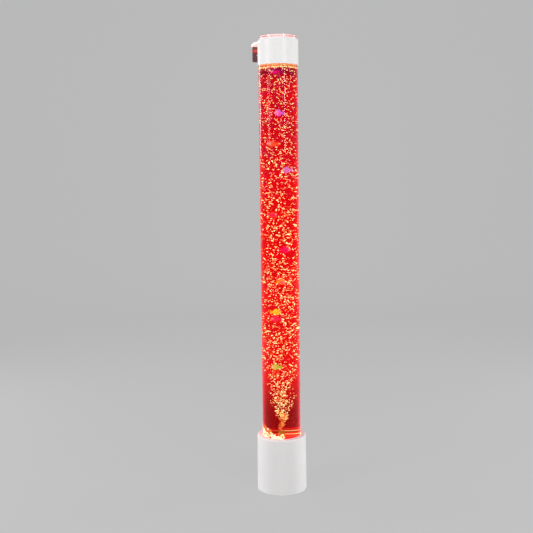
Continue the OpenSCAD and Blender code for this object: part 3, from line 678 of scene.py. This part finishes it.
class LAMP_OT_studio(Operator):
    """Sets the camera, the pale floor and backdrop, and the soft lights"""
    bl_idname = "bubble_lamp.studio"
    bl_label = "Studio"

    def execute(self, context):
        values = settings().studio
        self.place_camera(context, values)
        self.build_sweep(values)
        self.hang_lights(context, values)
        context.scene.view_settings.view_transform = "Standard"
        return {"FINISHED"}

    def place_camera(self, context, values):
        tilt, pan, roll = math.radians(6.307), -0.04599, -0.01163
        across = Matrix.Rotation(math.radians(-15.6), 3, "Z")
        right = Vector((math.cos(pan), -math.sin(pan), 0))
        forward = Vector((math.sin(pan) * math.cos(tilt), math.cos(pan) * math.cos(tilt),
                          -math.sin(tilt)))
        up = right.cross(forward)
        turned = math.cos(roll) * right + math.sin(roll) * up
        raised = -math.sin(roll) * right + math.cos(roll) * up
        place = across @ Vector((0.09135, -3.17756, 1.27705))
        axes = Matrix((across @ turned, across @ raised, across @ -forward)).transposed()
        camera = bpy.data.objects.new("camera", bpy.data.cameras.new("camera"))
        camera.data.lens = values.focal
        camera.data.sensor_width = 36
        camera.data.sensor_fit = "HORIZONTAL"
        camera.matrix_world = Matrix.Translation(place) @ axes.to_4x4()
        context.scene.collection.objects.link(camera)
        context.scene.camera = camera

    def build_sweep(self, values):
        """A floor that curves up into a backdrop, turned to face the camera."""
        half, front, back, height, bend = 8.0, -6.0, 5.2, 6.0, 1.0
        outline = [(front, 0.0), (back - bend, 0.0)]
        outline += [(back - bend + bend * math.sin(a), bend - bend * math.cos(a))
                    for a in (math.pi / 2 * i / 12 for i in range(1, 13))]
        outline.append((back, height))
        turn = Matrix.Rotation(VIEW_AZIMUTH + math.pi / 2, 3, "Z")
        points = [turn @ Vector((x, y, z)) for x in (-half, half) for y, z in outline]
        n = len(outline)
        faces = [(i, i + n, i + n + 1, i + 1) for i in range(n - 1)]
        sweep = mesh_object("studio_sweep", points, faces)
        material, tree, shader = new_material("sweep paper")
        look = placed_group(tree, moulded_group(), Colour=values.backdrop, Marked=values.backdrop,
                            Grain=400.0, Gloss=0.85, Dull=0.95).outputs
        set_inputs(shader, Base_Color=look["Colour"], Roughness=look["Roughness"],
                   Specular_IOR_Level=0.1)
        path = add_node(tree, "LightPath").outputs
        seen = maths("MAXIMUM", path["Is Camera Ray"],
                     maths("MAXIMUM", path["Is Glossy Ray"], path["Is Transmission Ray"]))
        flat = add_node(tree, "Emission", {"Color": values.backdrop, "Strength": 1.12})
        both = add_node(tree, "MixShader")
        for slot, source in enumerate((times(seen, 0.8), shader.outputs[0], flat.outputs[0])):
            wire(source, both.inputs[slot])
        wire(both.outputs[0], tree.nodes["Material Output"].inputs["Surface"])
        sweep.data.materials.append(quiet(material))

    def hang_lights(self, context, values):
        world = bpy.data.worlds.new("studio air")
        context.scene.world = world
        world.use_nodes = True
        set_inputs(world.node_tree.nodes["Background"], Color=(1, 1, 1), Strength=values.ambient)
        # name, azimuth from the camera in degrees, distance, middle height, width, height and
        # power, or for the streaks, which show in gloss, a share of their radiance
        lamps = (
            ("front_left", 60, 3.2, 0.7, 1.6, 1.2, values.fronts),
            ("front_right", -60, 3.2, 0.7, 1.6, 1.2, values.fronts),
            ("side_left", 108, 3.2, 0.8, 1.2, 1.4, values.sides),
            ("side_right", -108, 3.2, 0.8, 1.2, 1.4, values.sides),
            ("streak_right", -36, 2.6, 1.9, 0.32, 0.9, 1.0),
            ("streak_left", 57, 2.6, 1.95, 0.9, 0.9, 0.32),
            ("streak_edge", 134, 2.6, 1.85, 0.5, 0.8, 0.2),
            ("high_front", -8, 2.4, 2.7, 1.0, 1.0, values.high),
            ("overhead", 20, 0.5, 3.4, 1.6, 1.6, values.top),
        )
        for lamp in lamps:
            self.area_light(context, values.streaks, *lamp)

    def area_light(self, context, radiance, name, azimuth, away, z, width, tall, power):
        """A soft lamp round the tube's axis, hidden from the camera and from clear plastic."""
        mirrored = name.startswith("streak")
        if mirrored:
            power = math.pi * width * tall * power * radiance
        data = bpy.data.lights.new(name, "AREA")
        data.shape = "RECTANGLE"
        data.size = width
        data.size_y = tall
        data.energy = power
        light = bpy.data.objects.new(name, data)
        light.location = polar(away, VIEW_AZIMUTH - math.radians(azimuth), z)
        aim = Vector((0, 0, min(z, 1.2))) - light.location
        light.rotation_euler = aim.to_track_quat("-Z", "Y").to_euler()
        light.visible_camera = False
        light.visible_transmission = False
        light.visible_glossy = mirrored
        context.scene.collection.objects.link(light)


class LAMP_OT_base(Operator):
    """Finishes the base, its socket panel, buttons and feet, and paints a red glow on its deck"""
    bl_idname = "bubble_lamp.base"
    bl_label = "Base"

    def execute(self, context):
        shell, tree, shader = surface("white base", "white_gloss")
        # painted glow: the tube's red light painted on the white deck round it, stronger on one
        # side
        painted_deck_glow = ring_light(tree, Height=DECK, Rise=0.05, Radius=TUBE_R, Reach=0.026,
                          Azimuth=VIEW_AZIMUTH - math.radians(110), Side=0.75)
        glow_with(shader, painted_deck_glow, (1.0, 0.07, 0.13))
        dress(quiet(shell), "base_shell")
        dress(surface("white panel", "white_gloss")[0], "socket_panel")
        dress_plain("base_plate", "rubber_feet", "base_screws", "seat_screws", "dc_jack",
                    "jack_nut", "power_button", "light_button")
        return {"FINISHED"}


class LAMP_OT_works(Operator):
    """Finishes the pump, boards, hoses and wires inside the base"""
    bl_idname = "bubble_lamp.works"
    bl_label = "Works"

    def execute(self, context):
        dress_plain("tube_seat", "heat_sink", "heat_sink_screws", "led_board", "button_board",
                    "button_switches", "control_board", "board_components", "pump_body",
                    "pump_cover", "pump_mounts", "check_valve", "wiring", "fitting_nut",
                    "fitting_seal", "bubbler_fitting")
        hose = clear_plastic("clear hose", (0.85, 0.9, 0.88), 0.12, 1.42)[0]
        dress(hose, "air_hose_lower", "air_hose_upper")
        chips, tree, shader = new_material("lit lamp chips")
        grain = clouds(object_place(tree), 700.0, 2.0)
        set_inputs(shader, Emission_Color=blend_colours(grain, (1.0, 0.1, 0.03), (1.0, 0.4, 0.12)),
                   Emission_Strength=3.0, Base_Color=(0.9, 0.85, 0.7), Roughness=0.3)
        dress(quiet(chips), "led_chips")
        dress(self.stone_look(), "air_stone")
        return {"FINISHED"}

    def stone_look(self):
        """Pitted stone, with painted light on it in patches, more of it at its foot."""
        stone, tree, shader = surface("air stone", "pump_grey")
        place = object_place(tree)
        pores = add_node(tree, "TexVoronoi", {"Vector": place, "Scale": 900.0})
        pitted = smooth_step(pores.outputs["Distance"], 0.1, 0.6)
        # painted light: glow in patches, stronger towards the stone's foot
        lower = smooth_step(parts_of(place)[2], STONE_TOP - 4 * MM, STONE_TOP - 16 * MM)
        cloud = add_node(tree, "TexNoise", {"Scale": 160.0, "Detail": 2.0})
        patchy = smooth_step(scaled(lower, 0.25, cloud.outputs["Fac"]), 0.5, 0.66)
        glow = blend_colours(patchy, through_water((0.14, 0.075, 0.004), TUBE_BORE),
                             through_water((0.6, 0.16, 0.01), TUBE_BORE))
        set_inputs(shader, Base_Color=blend_colours(pitted, (0.1, 0.05, 0.01), (0.5, 0.33, 0.06)),
                   Emission_Color=glow, Emission_Strength=1.0)
        return quiet(stone)


class LAMP_OT_tube(Operator):
    """Polishes the clear tube and its foot disc, and paints rings of light and a red glow on them
    """
    bl_idname = "bubble_lamp.tube"
    bl_label = "Tube"

    def execute(self, context):
        wall, _, shader = clear_plastic("clear tube", (0.97, 0.95, 0.95), 0.014, waviness=0.02,
                                        scuffed=0.01)
        # the pink specular tint paints the tube's reflections in the red light
        set_inputs(shader, Specular_Tint=(0.5, 0.2, 0.22))
        # painted light: rings of light on the tube's bore at the foot
        self.light_rings(shader, (0, 0, 0), (
            (FLOOR_TOP + 2 * MM, 6 * MM, TUBE_BORE, (0.9, 0.05, 0.02)),
            (DECK + 9 * MM, 4 * MM, TUBE_BORE, (0.75, 0.01, 0.01)),
            (DECK - 1 * MM, 4 * MM, TUBE_BORE, (1.0, 0.5, 0.14))))
        dress(quiet(wall), "tube")
        foot, _, shader = clear_plastic("clear foot disc", (0.95, 0.5, 0.45), 0.08)
        # painted light: a red glow over the foot disc, with a ring of light on it
        self.light_rings(shader, through_water((0.8, 0.0, 0.006), 0.12), (
            (FLOOR_TOP, 6 * MM, 66 * MM, (1.6, 1.2, 0.4)),))
        dress(quiet(foot), "tube_floor")
        return {"FINISHED"}

    def light_rings(self, shader, ground, rings):
        """Painted rings of light at the foot, brighter on the right, on the faces that look
        inwards.

        Each ring is its height, rise, radius and the colour that shows through the water. They
        don't light the white parts beside them.
        """
        tree = shader.id_data
        inward = rest_of(add_node(tree, "NewGeometry").outputs["Backfacing"])
        place = object_place(tree)
        aside, ahead = (vector_maths("DOT_PRODUCT", place, way) for way in (RIGHT, TO_CAMERA))
        half = scaled(smooth_step(aside, -6 * MM, 6 * MM), 0.85, 0.15)
        # the rings are on the wall's side only, behind the bubbler
        half = times(half, smooth_step(ahead, 25 * MM, 5 * MM))
        for height, rise, radius, seen in rings:
            mask = ring_light(tree, Height=height, Rise=rise, Radius=radius, Reach=6 * MM)
            ground = blend_colours(times(times(mask, inward), half), ground,
                                   through_water(seen, 0.13))
        path = add_node(tree, "LightPath").outputs
        set_inputs(shader, Emission_Color=ground,
                   Emission_Strength=rest_of(path["Is Diffuse Ray"]))


class LAMP_OT_water(Operator):
    """Fills the tube: the water column with its raised rim and rippled surface"""
    bl_idname = "bubble_lamp.water"
    bl_label = "Water"

    def execute(self, context):
        radius = (TUBE_R + TUBE_BORE) / 2
        bottom = FLOOR_TOP - 0.5 * MM
        rise, rim = 2.2 * MM, 3 * MM
        # close rings at both ends keep the wall's shading straight up to its corners
        corner = 0.2 * MM
        profile = [(0, bottom), (radius * 0.5, bottom), (radius - 2 * corner, bottom),
                   (radius - corner, bottom), (radius, bottom + corner),
                   (radius, bottom + 2 * corner)]
        profile += [(radius, bottom + (WATER_TOP - bottom) * i / 40) for i in range(1, 40)]
        profile += [(radius, WATER_TOP - 2 * corner), (radius, WATER_TOP - corner)]
        profile += [(radius - rim * i / 6, WATER_TOP - rise * (1 - (1 - i / 6) ** 2))
                    for i in range(1, 7)]
        profile += [((radius - rim) * (1 - i / 22), WATER_TOP - rise) for i in range(1, 22)]
        profile.append((0, WATER_TOP - rise))
        water = lathe("water", profile)
        for v in water.data.vertices:
            r = math.hypot(v.co.x, v.co.y)
            if v.co.z > WATER_TOP - 2 * rise and r < radius - rim:
                calm = min(1.0, (radius - rim - r) / (6 * MM))
                v.co.z += 1.6 * MM * calm * noise.noise(v.co * 90)
        water.data.materials.append(self.water_look(settings().water))
        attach(water, "base")
        return {"FINISHED"}

    def water_look(self, values):
        """Clear water tinted red as painted light: the glow in it is painted on the surface, near
        and far side apart.
        """
        material, tree, shader = new_material("lit water")
        place = object_place(tree)
        x, y, z = parts_of(place)
        cloud = clouds(place, 16.0, 4.0, 0.6)
        # painted shade: the glow is missing at the foot and fades under the foam at the top, and
        # the near glow is halved higher up
        low = smooth_step(z, *CLEAR_FOOT)
        top = rest_of(smooth_step(scaled(cloud, 0.06, z), *DIM_TOP))
        upper = smooth_step(z, FINE_FROM - 0.2, FINE_FROM + 0.2)
        body = times(times(low, top), scaled(cloud, 1.6, 0.2))
        near = times(times(body, scaled(upper, -0.5, 1.0)), values.glow_near)
        # the foot's painted glow lies where the light leaves the wall, left and right of the front
        across = minus(maths("ARCTAN2", y, x), VIEW_AZIMUTH)
        edge = rest_of(smooth_step(size_of(maths("COSINE", across)), 0.2, 0.62))
        near = scaled(times(edge, scaled(low, -0.7, 1.0)), 0.75, near)
        far = times(scaled(body, 0.95, 0.05), values.glow_far)
        behind = add_node(tree, "NewGeometry").outputs["Backfacing"]
        lit = maths("ADD", times(far, behind), times(near, rest_of(behind)))
        glow_with(shader, lit, values.glow)
        # the red specular tint paints the water's reflections red
        set_inputs(shader, Base_Color=values.tint, Transmission_Weight=1.0, IOR=WATER_IOR,
                   Roughness=0.0, Specular_Tint=(0.2, 0.0, 0.0))
        inside = add_node(tree, "VolumeAbsorption",
                          {"Color": values.absorb, "Density": values.density})
        wire(inside.outputs[0], tree.nodes["Material Output"].inputs["Volume"])
        return quiet(material)


# Each kind of bubble: the colours of its bright, warm and deep ones, the parts that are deep,
# and deep or warm, and the water in front of it. Then, where it has them, whether it is zoned
# and the light it keeps on its upper side.
BUBBLE_LOOKS = {
    "lit bubbles": (((2.4, 2.1, 0.85), (1.3, 0.4, 0.06), (0.75, 0.01, 0.01)), (0.36, 0.6),
                    35 * MM, True),
    "shadow bubbles": (((0.3, 0.01, 0.1), (0.16, 0.0, 0.05), (0.1, 0.0, 0.02)), (0.4, 0.7),
                       10 * MM),
    "lit foam": (((1.8, 1.35, 0.5), (1.2, 0.45, 0.12), (0.6, 0.03, 0.03)), (0.3, 0.55), 5 * MM),
    "dim foam": (((0.75, 0.1, 0.04), (0.45, 0.02, 0.03), (0.2, 0.0, 0.02)), (0.4, 0.8),
                 2 * TUBE_BORE),
    "lit heap": (((1.7, 1.45, 0.9), (1.4, 0.85, 0.25), (0.5, 0.1, 0.01)), (0.14, 0.34),
                 8 * MM, False, 0.9),
    "lit crest": (((1.3, 0.28, 0.04), (0.95, 0.1, 0.01), (0.55, 0.01, 0.0)), (0.35, 0.65),
                  8 * MM),
    "lit clump": (((1.5, 0.95, 0.28), (1.2, 0.42, 0.08), (0.8, 0.06, 0.01)), (0.25, 0.5),
                  TUBE_BORE),
}


class LAMP_OT_bubbles(Operator):
    """Blows the rising bubbles, the foam on the water and the heap at the foot"""
    bl_idname = "bubble_lamp.bubbles"
    bl_label = "Bubbles"

    def execute(self, context):
        values = settings().bubbles
        rng = random.Random(values.seed)
        rising = rising_bubbles(rng, values.rising, values.small, values.large)
        coarse = [bubble for bubble in rising if bubble[0].z <= FINE_FROM]
        fine = [bubble for bubble in rising if bubble[0].z > FINE_FROM]
        # name, bubbles, how far they are drawn out and bent, and their look
        groups = (
            ("bubbles_1", coarse[0::3], 2.7, 0.8, "lit bubbles"),
            ("bubbles_2", coarse[1::3], 2.7, 0.8, "lit bubbles"),
            ("bubbles_3", coarse[2::3], 2.7, 0.8, "lit bubbles"),
            ("bubbles_4", fine, 1.7, 0.3, "lit bubbles"),
            ("shadow_bubbles", shadow_bubbles(rng, values.rising // 7), 1.6, 0.3, "shadow bubbles"),
            ("bubble_clump", clump_bubbles(rng, 60), 2.0, 0.3, "lit clump"),
            ("surface_foam", foam_bubbles(rng, values.foam, VIEW_AZIMUTH, math.radians(105)),
             1.5, 0.1, "lit foam"),
            ("back_foam", foam_bubbles(rng, values.foam // 3, VIEW_AZIMUTH + math.pi,
                                       math.radians(75)), 1.5, 0.1, "dim foam"),
            ("foot_foam", heap_bubbles(rng, values.heap), 2.0, 0.4, "lit heap"),
            ("foot_crest", crest_bubbles(rng, values.heap // 6), 2.2, 0.4, "lit crest"),
        )
        for name, bubbles, stretch, bend, look in groups:
            # all places are drawn before the first bubble is shaped
            piece = drops_object(name, list(bubbles), rng, stretch, bend)
            made = bpy.data.materials.get(look)
            piece.data.materials.append(
                made or bubble_light(look, values.power, *BUBBLE_LOOKS[look]))
            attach(piece, "base")
        return {"FINISHED"}


class LAMP_OT_collar(Operator):
    """Finishes the white collar"""
    bl_idname = "bubble_lamp.collar"
    bl_label = "Collar"

    def execute(self, context):
        dress(surface("white collar", "white_gloss")[0], "top_collar")
        return {"FINISHED"}


class LAMP_OT_lid(Operator):
    """Polishes the clear lid, its locating ring and the wall flange, and paints glow and highlights
    on them
    """
    bl_idname = "bubble_lamp.lid"
    bl_label = "Lid"

    def execute(self, context):
        values = settings().finish
        plate, tree, shader = clear_plastic("clear lid plate", values.lid, 0.03)
        low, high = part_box("lid_plate")
        edge = {"Height": (low.z + high.z) / 2, "Rise": 0.03, "Radius": high.x, "Reach": 0.02}
        # painted glow on the lid's front edge, and two narrow painted highlights on its polished
        # edge, left and right of the front
        front = ring_light(tree, **edge, Azimuth=VIEW_AZIMUTH, Side=0.95, Focus=9.0)
        sides = [ring_light(tree, **edge, Azimuth=VIEW_AZIMUTH + math.radians(turn), Side=1.0,
                            Focus=260.0) for turn in (-62, 60)]
        # painted light also leaves the tongue's sides and underside behind the collar
        normal = add_node(tree, "NewGeometry").outputs["Normal"]
        not_top = smooth_step(parts_of(normal)[2], 0.6, 0.3)
        tongue = smooth_step(parts_of(object_place(tree))[1], high.x, high.x + 8 * MM)
        mask = maths("MAXIMUM", times(front, 0.75), tongue)
        for side in sides:
            mask = maths("MAXIMUM", mask, side)
        light = blend_colours(tongue, values.edge_glow, (0.85, 0.62, 0.57))
        glow_with(shader, times(mask, not_top), light, 0.75)
        dress(quiet(plate), "lid_plate", "locating_ring")
        dress(self.flange_look(values.flange), "wall_flange")
        return {"FINISHED"}

    def flange_look(self, tint):
        """The clear flange is darkened as painted shade, with a painted red glint where the
        collar's light meets it.
        """
        flange, tree, shader = clear_plastic("clear flange", tint, 0.06)
        low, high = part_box("wall_flange")
        x, y, z = parts_of(object_place(tree))
        # painted glint by the collar, and a faint painted glow rising towards the flange's top
        near_collar = smooth_step(size_of(x), high.x, high.x - 7 * MM)
        over = size_of(minus(z, high.z - 17 * MM))
        glint = times(near_collar, smooth_step(over, 9 * MM, 0.0))
        glint = scaled(smooth_step(z, low.z, high.z), 0.06, glint)
        glow_with(shader, glint, (0.42, 0.035, 0.012))
        return quiet(flange)


# For each fish: the side its nose points to along X, and the colours that show through the
# water of its body, back, band behind the head, fins, tail and nose.
FISH_PAINTS = (
    (-1, (0.95, 0.08, 0.51), (0.3, 0.13, 0.6), (0.95, 0.36, 0.01), (0.32, 0.12, 0.58),
     (0.2, 0.12, 0.6), (0.95, 0.3, 0.6)),
    (-1, (0.95, 0.08, 0.013), (0.95, 0.1, 0.04), (0.95, 0.2, 0.1), (0.95, 0.12, 0.03),
     (0.9, 0.06, 0.02), (0.95, 0.1, 0.04)),
    (-1, (0.4, 0.15, 0.5), (0.3, 0.2, 0.5), (0.8, 0.1, 0.36), (0.34, 0.18, 0.48),
     (0.5, 0.22, 0.5), (0.9, 0.42, 0.16)),
    (1, (0.91, 0.017, 0.06), (0.93, 0.03, 0.04), (0.91, 0.02, 0.09), (0.95, 0.06, 0.02),
     (0.85, 0.01, 0.07), (0.91, 0.05, 0.05)),
    (1, (0.87, 0.004, 0.06), (0.6, 0.01, 0.12), (0.85, 0.02, 0.16), (0.8, 0.004, 0.09),
     (0.87, 0.01, 0.07), (0.87, 0.01, 0.05)),
    (1, (0.85, 0.09, 0.13), (0.95, 0.28, 0.008), (0.95, 0.3, 0.01), (0.95, 0.3, 0.008),
     (0.95, 0.3, 0.01), (0.95, 0.33, 0.03)),
    (1, (0.95, 0.55, 0.007), (0.95, 0.6, 0.01), (0.9, 0.4, 0.01), (0.95, 0.5, 0.01),
     (0.9, 0.3, 0.01), (0.95, 0.55, 0.02)),
    (-1, (0.84, 0.015, 0.06), (0.75, 0.01, 0.1), (0.88, 0.04, 0.04), (0.84, 0.02, 0.06),
     (0.78, 0.01, 0.08), (0.85, 0.04, 0.07)),
    (-1, (0.24, 0.48, 0.04), (0.14, 0.48, 0.045), (0.6, 0.5, 0.06), (0.12, 0.44, 0.03),
     (0.14, 0.42, 0.007), (0.8, 0.58, 0.3)),
    (-1, (0.62, 0.003, 0.12), (0.2, 0.0, 0.07), (0.65, 0.01, 0.16), (0.35, 0.003, 0.08),
     (0.3, 0.0, 0.1), (0.6, 0.01, 0.1)),
)
# Colours of their eyes.
EYE_WHITE = (0.87, 0.55, 0.5)
EYE_PUPIL = (0.12, 0.0, 0.02)


class LAMP_OT_fish(Operator):
    """Paints the moulded fish and gives them eyes"""
    bl_idname = "bubble_lamp.fish"
    bl_label = "Fish"

    def execute(self, context):
        for name, paint in zip(FISH_NAMES, FISH_PAINTS):
            self.make_fish(name, *paint)
        return {"FINISHED"}

    def make_fish(self, name, nose, *paint):
        low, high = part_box(name)
        centre = (low + high) / 2
        made = bmesh.new()
        made.from_mesh(frame["nodes"][name].data)
        bmesh.ops.remove_doubles(made, verts=made.verts, dist=0.01 * MM)
        bmesh.ops.join_triangles(made, faces=made.faces, angle_face_threshold=3.1,
                                 angle_shape_threshold=3.1)
        # the thick half of the body has the nose
        thick = sum(v.co.x - centre.x for v in made.verts if abs(v.co.y - centre.y) > 4 * MM)
        if thick * nose < 0:
            for v in made.verts:
                v.co.x = 2 * centre.x - v.co.x
            bmesh.ops.reverse_faces(made, faces=made.faces)
        eye = centre + Vector((nose * 0.35 * (high.x - low.x), 0, 1.5 * MM))
        flat = Matrix.Diagonal((2.3 * MM, 1.3 * MM, 2.3 * MM, 1))
        for side in (-1, 1):
            bead = Matrix.Translation(eye + Vector((0, side * 3.6 * MM, 0)))
            bmesh.ops.create_uvsphere(made, u_segments=12, v_segments=8, radius=1.0,
                                      matrix=bead @ flat)
        mesh = bpy.data.meshes.new(name + "_skin")
        made.to_mesh(mesh)
        made.free()
        skin = linked_piece(mesh)
        rounded = skin.modifiers.new("rounded", "SUBSURF")
        rounded.levels = rounded.render_levels = 2
        mesh.materials.append(self.paint_and_glow_look(name, low, high, nose, eye, paint))
        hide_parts(name)
        slot_of(name)
        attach(skin, name)

    def paint_and_glow_look(self, name, low, high, nose, eye, paint):
        """Body paint with a darker back, a band behind the head, fins, tail, nose and eyes, all
        given as glow: painted light.
        """
        centre = (low + high) / 2
        front = math.sqrt(TUBE_BORE ** 2 - min(TUBE_BORE, abs(centre.dot(RIGHT))) ** 2)
        depth = max(2 * MM, front - centre.dot(TO_CAMERA))
        body, back, band, fins, tail, snout, pupil, white = (
            through_water(seen, depth) for seen in (*paint, EYE_PUPIL, EYE_WHITE))
        material, tree, shader = new_material(name + " paint")
        place = object_place(tree)
        local = vector_maths("SUBTRACT", place, centre)
        x, y, z = parts_of(local)
        grain = clouds(place, 260.0, 3.0)
        # 0 at the nose and 1 at the tail
        along = maths("ADD", times(x, -nose / (high.x - low.x)), 0.5)
        along = maths("ADD", along, scaled(grain, 0.1, -0.05))
        behind_head = size_of(minus(along, 0.3))
        thick = smooth_step(size_of(y), 0.9 * MM, 2.2 * MM)
        from_eye = vector_maths("DISTANCE", vector_maths("MULTIPLY", local, (1, 0, 1)),
                                eye - centre)
        shade = blend_colours(smooth_step(z, 1 * MM, 4 * MM), body, back)
        shade = blend_colours(smooth_step(behind_head, 0.08, 0.03), shade, band)
        shade = blend_colours(thick, fins, shade)
        for measure, start, end, colour_there in (
                (along, 0.72, 0.8, tail), (along, 0.12, 0.05, snout),
                (from_eye, 3.4 * MM, 2.8 * MM, white), (from_eye, 2.1 * MM, 1.7 * MM, pupil)):
            shade = blend_colours(smooth_step(measure, start, end), shade, colour_there)
        set_inputs(shader, Emission_Color=shade, Emission_Strength=1.0,
                   Base_Color=blend_colours(thick, paint[3], paint[0]),
                   Roughness=scaled(grain, 0.2, 0.25))
        return quiet(material)


# ---- panel and run

STEPS = (LAMP_OT_studio, LAMP_OT_base, LAMP_OT_works, LAMP_OT_tube, LAMP_OT_water,
         LAMP_OT_bubbles, LAMP_OT_collar, LAMP_OT_lid, LAMP_OT_fish)


class LAMP_PT_sidebar(Panel):
    """Lists the steps that finish the lamp"""
    bl_idname = "LAMP_PT_sidebar"
    bl_label = "Bubble Tube Lamp"
    bl_space_type = "VIEW_3D"
    bl_region_type = "UI"
    bl_category = "Bubble Lamp"

    def draw(self, context):
        for step in STEPS:
            self.layout.operator(step.bl_idname)


CLASSES = (LampWaterSettings, LampBubbleSettings, LampFinishSettings, LampStudioSettings,
           LampSettings, *STEPS, LAMP_PT_sidebar)


def register():
    for item in CLASSES:
        bpy.utils.register_class(item)
    bpy.types.Scene.bubble_lamp = PointerProperty(type=LampSettings)


def unregister():
    del bpy.types.Scene.bubble_lamp
    for item in reversed(CLASSES):
        bpy.utils.unregister_class(item)


def main():
    register()
    bpy.ops.bubble_lamp.studio()
    bpy.ops.bubble_lamp.base()
    bpy.ops.bubble_lamp.works()
    bpy.ops.bubble_lamp.tube()
    bpy.ops.bubble_lamp.water()
    bpy.ops.bubble_lamp.bubbles()
    bpy.ops.bubble_lamp.collar()
    bpy.ops.bubble_lamp.lid()
    bpy.ops.bubble_lamp.fish()


if __name__ == "__main__":
    main()
